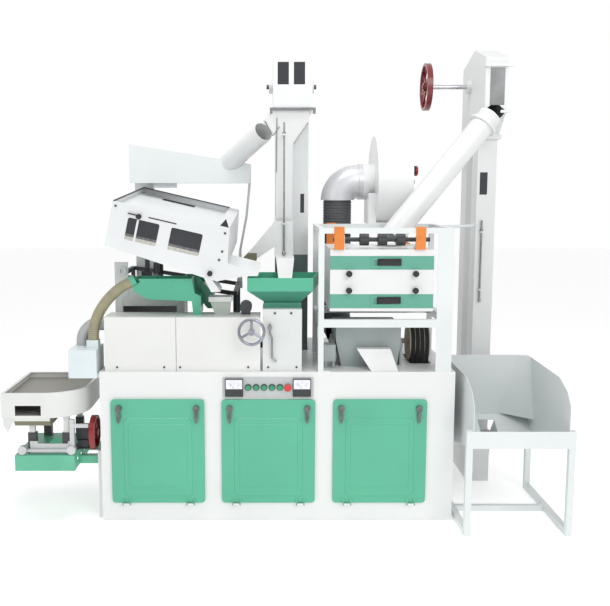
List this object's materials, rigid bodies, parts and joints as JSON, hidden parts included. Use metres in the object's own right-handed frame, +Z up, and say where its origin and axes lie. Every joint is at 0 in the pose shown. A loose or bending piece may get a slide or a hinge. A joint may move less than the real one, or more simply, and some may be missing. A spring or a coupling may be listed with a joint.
{
  "type": "combined rice mill",
  "caption": "Combined rice mill on a cabinet base: cleaning sieve, rubber roll husker, gravity separator, whitener, bucket elevators, intake hopper and grader.",
  "frame": {"origin": "centre of the four anchor holes, on the floor under the base cabinet", "axes": "+X to the right seen from the doors, +Y from the doors to the back, +Z up"},
  "size_m": [2.766, 1.247, 2.418],
  "materials": {
    "white_enamel": "satin",
    "green_enamel": "satin",
    "pale_enamel": "satin",
    "dark_steel": "satin",
    "bright_steel": "polished",
    "panel_plate": "satin",
    "green_button": "gloss",
    "red_button": "gloss",
    "red_iron": "gloss",
    "orange_steel": "satin",
    "roll_rubber": "matte",
    "belt_rubber": "matte",
    "motor_grey": "satin",
    "fan_enamel": "satin",
    "ribbed_hose": "matte"
  },
  "bodies": {
    "base": {"cabinet_shell": "white_enamel", "cabinet_front": "white_enamel", "control_panel": "panel_plate", "mill_covers": "white_enamel", "mill_case": "white_enamel", "centre_hopper": "green_enamel", "green_tray": "green_enamel", "separator_stand": "pale_enamel", "separator_feed_box": "white_enamel", "elevator_centre": "white_enamel", "elevator_right": "pale_enamel", "grain_spouts": "white_enamel", "sieve_frame": "white_enamel", "leaf_springs": "orange_steel", "husker_case": "white_enamel", "main_motor": "motor_grey", "drive_belts": "belt_rubber", "fan_housing": "fan_enamel", "fan_duct": "white_enamel", "intake_hopper": "white_enamel", "intake_stand": "white_enamel", "outlet_box": "white_enamel", "outlet_hose": "ribbed_hose", "grader_base": "green_enamel"},
    "door_left": {"door_left": "green_enamel"},
    "latch_left_l": {"latch_left_l": "bright_steel"},
    "latch_left_r": {"latch_left_r": "bright_steel"},
    "door_middle": {"door_middle": "green_enamel"},
    "latch_middle_l": {"latch_middle_l": "bright_steel"},
    "latch_middle_r": {"latch_middle_r": "bright_steel"},
    "door_right": {"door_right": "green_enamel"},
    "latch_right_l": {"latch_right_l": "bright_steel"},
    "latch_right_r": {"latch_right_r": "bright_steel"},
    "button_1": {"button_1": "green_button"},
    "button_2": {"button_2": "green_button"},
    "button_3": {"button_3": "green_button"},
    "button_4": {"button_4": "green_button"},
    "button_5": {"button_5": "green_button"},
    "stop_button": {"stop_button": "red_button"},
    "handwheel": {"handwheel": "red_iron"},
    "gate_crank": {"gate_crank": "bright_steel"},
    "line_shaft": {"line_shaft": "dark_steel"},
    "milling_roller": {"milling_roller": "dark_steel"},
    "fast_roll": {"fast_roll": "roll_rubber"},
    "slow_roll": {"slow_roll": "roll_rubber"},
    "elevator_c_pulley": {"elevator_c_pulley": "bright_steel"},
    "elevator_r_pulley": {"elevator_r_pulley": "red_iron"},
    "separator_box": {"separator_box": "pale_enamel"},
    "rocker_left": {"rocker_left": "dark_steel"},
    "rocker_right": {"rocker_right": "dark_steel"},
    "sieve_box": {"sieve_box": "pale_enamel"},
    "sieve_drawer_lower": {"sieve_drawer_lower": "green_enamel"},
    "sieve_drawer_upper": {"sieve_drawer_upper": "green_enamel"},
    "eccentric_shaft": {"eccentric_shaft": "dark_steel"},
    "fan_impeller": {"fan_impeller": "dark_steel"},
    "fan_knob": {"fan_knob": "red_iron"},
    "gate_rod_centre": {"gate_rod_centre": "bright_steel"},
    "gate_rod_right": {"gate_rod_right": "bright_steel"},
    "grader_tray": {"grader_tray": "pale_enamel"},
    "grader_wheel": {"grader_wheel": "red_iron"}
  },
  "joints": [
    {"name": "door_left_hinge", "type": "hinge", "parent": "base", "child": "door_left", "pos_m": [-0.594, -0.52, 0.091], "axis": [1, 0, 0], "range_deg": [0, 85]},
    {"name": "latch_left_l_turn", "type": "hinge", "parent": "door_left", "child": "latch_left_l", "pos_m": [-0.7865, -0.5123, 0.582], "axis": [0, 1, 0], "range_deg": [0, 90]},
    {"name": "latch_left_r_turn", "type": "hinge", "parent": "door_left", "child": "latch_left_r", "pos_m": [-0.4015, -0.5123, 0.582], "axis": [0, -1, 0], "range_deg": [0, 90]},
    {"name": "door_middle_hinge", "type": "hinge", "parent": "base", "child": "door_middle", "pos_m": [-0.044, -0.52, 0.091], "axis": [1, 0, 0], "range_deg": [0, 85]},
    {"name": "latch_middle_l_turn", "type": "hinge", "parent": "door_middle", "child": "latch_middle_l", "pos_m": [-0.2365, -0.5123, 0.582], "axis": [0, 1, 0], "range_deg": [0, 90]},
    {"name": "latch_middle_r_turn", "type": "hinge", "parent": "door_middle", "child": "latch_middle_r", "pos_m": [0.1485, -0.5123, 0.582], "axis": [0, -1, 0], "range_deg": [0, 90]},
    {"name": "door_right_hinge", "type": "hinge", "parent": "base", "child": "door_right", "pos_m": [0.51, -0.52, 0.091], "axis": [1, 0, 0], "range_deg": [0, 85]},
    {"name": "latch_right_l_turn", "type": "hinge", "parent": "door_right", "child": "latch_right_l", "pos_m": [0.3175, -0.5123, 0.582], "axis": [0, 1, 0], "range_deg": [0, 90]},
    {"name": "latch_right_r_turn", "type": "hinge", "parent": "door_right", "child": "latch_right_r", "pos_m": [0.7025, -0.5123, 0.582], "axis": [0, -1, 0], "range_deg": [0, 90]},
    {"name": "button_1_press", "type": "slide", "parent": "base", "child": "button_1", "axis": [0, 1, 0], "range_m": [0, 0.004], "stiffness_N_per_m": 300},
    {"name": "button_2_press", "type": "slide", "parent": "base", "child": "button_2", "axis": [0, 1, 0], "range_m": [0, 0.004], "stiffness_N_per_m": 300},
    {"name": "button_3_press", "type": "slide", "parent": "base", "child": "button_3", "axis": [0, 1, 0], "range_m": [0, 0.004], "stiffness_N_per_m": 300},
    {"name": "button_4_press", "type": "slide", "parent": "base", "child": "button_4", "axis": [0, 1, 0], "range_m": [0, 0.004], "stiffness_N_per_m": 300},
    {"name": "button_5_press", "type": "slide", "parent": "base", "child": "button_5", "axis": [0, 1, 0], "range_m": [0, 0.004], "stiffness_N_per_m": 300},
    {"name": "stop_button_press", "type": "slide", "parent": "base", "child": "stop_button", "axis": [0, 1, 0], "range_m": [0, 0.004], "stiffness_N_per_m": 300},
    {"name": "handwheel_turn", "type": "hinge", "parent": "base", "child": "handwheel", "pos_m": [-0.126, -0.562, 0.974], "axis": [0, -1, 0], "continuous": true},
    {"name": "gate_crank_swing", "type": "hinge", "parent": "base", "child": "gate_crank", "pos_m": [-0.036, -0.485, 0.985], "axis": [0, -1, 0], "range_deg": [0, 90]},
    {"name": "line_shaft_spin", "type": "hinge", "parent": "base", "child": "line_shaft", "pos_m": [-0.02, -0.12, 0.3], "axis": [1, 0, 0], "continuous": true},
    {"name": "milling_roller_spin", "type": "hinge", "parent": "base", "child": "milling_roller", "pos_m": [-0.02, -0.36, 0.88], "axis": [1, 0, 0], "continuous": true},
    {"name": "fast_roll_spin", "type": "hinge", "parent": "base", "child": "fast_roll", "pos_m": [0.298, -0.17, 0.862], "axis": [1, 0, 0], "continuous": true},
    {"name": "slow_roll_spin", "type": "hinge", "parent": "base", "child": "slow_roll", "pos_m": [0.298, -0.295, 0.862], "axis": [1, 0, 0], "continuous": true},
    {"name": "elevator_c_spin", "type": "hinge", "parent": "base", "child": "elevator_c_pulley", "pos_m": [-0.004, 0.29, 2.23], "axis": [1, 0, 0], "continuous": true},
    {"name": "elevator_r_spin", "type": "hinge", "parent": "base", "child": "elevator_r_pulley", "pos_m": [0.847, 0.29, 2.23], "axis": [1, 0, 0], "continuous": true},
    {"name": "separator_swing", "type": "slide", "parent": "base", "child": "separator_box", "axis": [1, 0, 0], "range_m": [-0.008, 0.008]},
    {"name": "rocker_left_rock", "type": "hinge", "parent": "base", "child": "rocker_left", "pos_m": [-0.7, 0, 1.165], "axis": [0, 1, 0], "range_deg": [-3.2, 3.2]},
    {"name": "rocker_right_rock", "type": "hinge", "parent": "base", "child": "rocker_right", "pos_m": [-0.4, 0, 1.072], "axis": [0, 1, 0], "range_deg": [-3.2, 3.2]},
    {"name": "sieve_swing", "type": "slide", "parent": "base", "child": "sieve_box", "axis": [0, 1, 0], "range_m": [-0.008, 0.008], "stiffness_N_per_m": 8000, "deforming": ["leaf_springs"]},
    {"name": "sieve_drawer_lower_slide", "type": "slide", "parent": "sieve_box", "child": "sieve_drawer_lower", "axis": [0, -1, 0], "range_m": [0, 0.38]},
    {"name": "sieve_drawer_upper_slide", "type": "slide", "parent": "sieve_box", "child": "sieve_drawer_upper", "axis": [0, -1, 0], "range_m": [0, 0.38]},
    {"name": "eccentric_spin", "type": "hinge", "parent": "sieve_box", "child": "eccentric_shaft", "pos_m": [0.257, -0.405, 1.412], "axis": [1, 0, 0], "continuous": true},
    {"name": "fan_spin", "type": "hinge", "parent": "base", "child": "fan_impeller", "pos_m": [0.725, 0.165, 1.7], "axis": [1, 0, 0], "continuous": true},
    {"name": "fan_damper_turn", "type": "hinge", "parent": "base", "child": "fan_knob", "pos_m": [0.725, 0.145, 1.76], "axis": [1, 0, 0], "range_deg": [0, 90]},
    {"name": "gate_rod_centre_lift", "type": "slide", "parent": "base", "child": "gate_rod_centre", "axis": [0, 0, 1], "range_m": [0, 0.04]},
    {"name": "gate_rod_right_lift", "type": "slide", "parent": "base", "child": "gate_rod_right", "axis": [0, 0, 1], "range_m": [0, 0.04]},
    {"name": "grader_swing", "type": "slide", "parent": "base", "child": "grader_tray", "axis": [0, 1, 0], "range_m": [-0.008, 0.008]},
    {"name": "grader_wheel_spin", "type": "hinge", "parent": "base", "child": "grader_wheel", "pos_m": [-0.93, -0.4, 0.43], "axis": [1, 0, 0], "continuous": true}
  ],
  "couplings": [
    {"joint": "milling_roller_spin", "follows": "line_shaft_spin", "ratio": 0.82353},
    {"joint": "fast_roll_spin", "follows": "line_shaft_spin", "ratio": 0.77778},
    {"joint": "slow_roll_spin", "follows": "line_shaft_spin", "ratio": -0.62222},
    {"joint": "rocker_left_rock", "follows": "separator_swing", "rad_per_m": 6.6667},
    {"joint": "rocker_right_rock", "follows": "separator_swing", "rad_per_m": 6.6667}
  ]
}
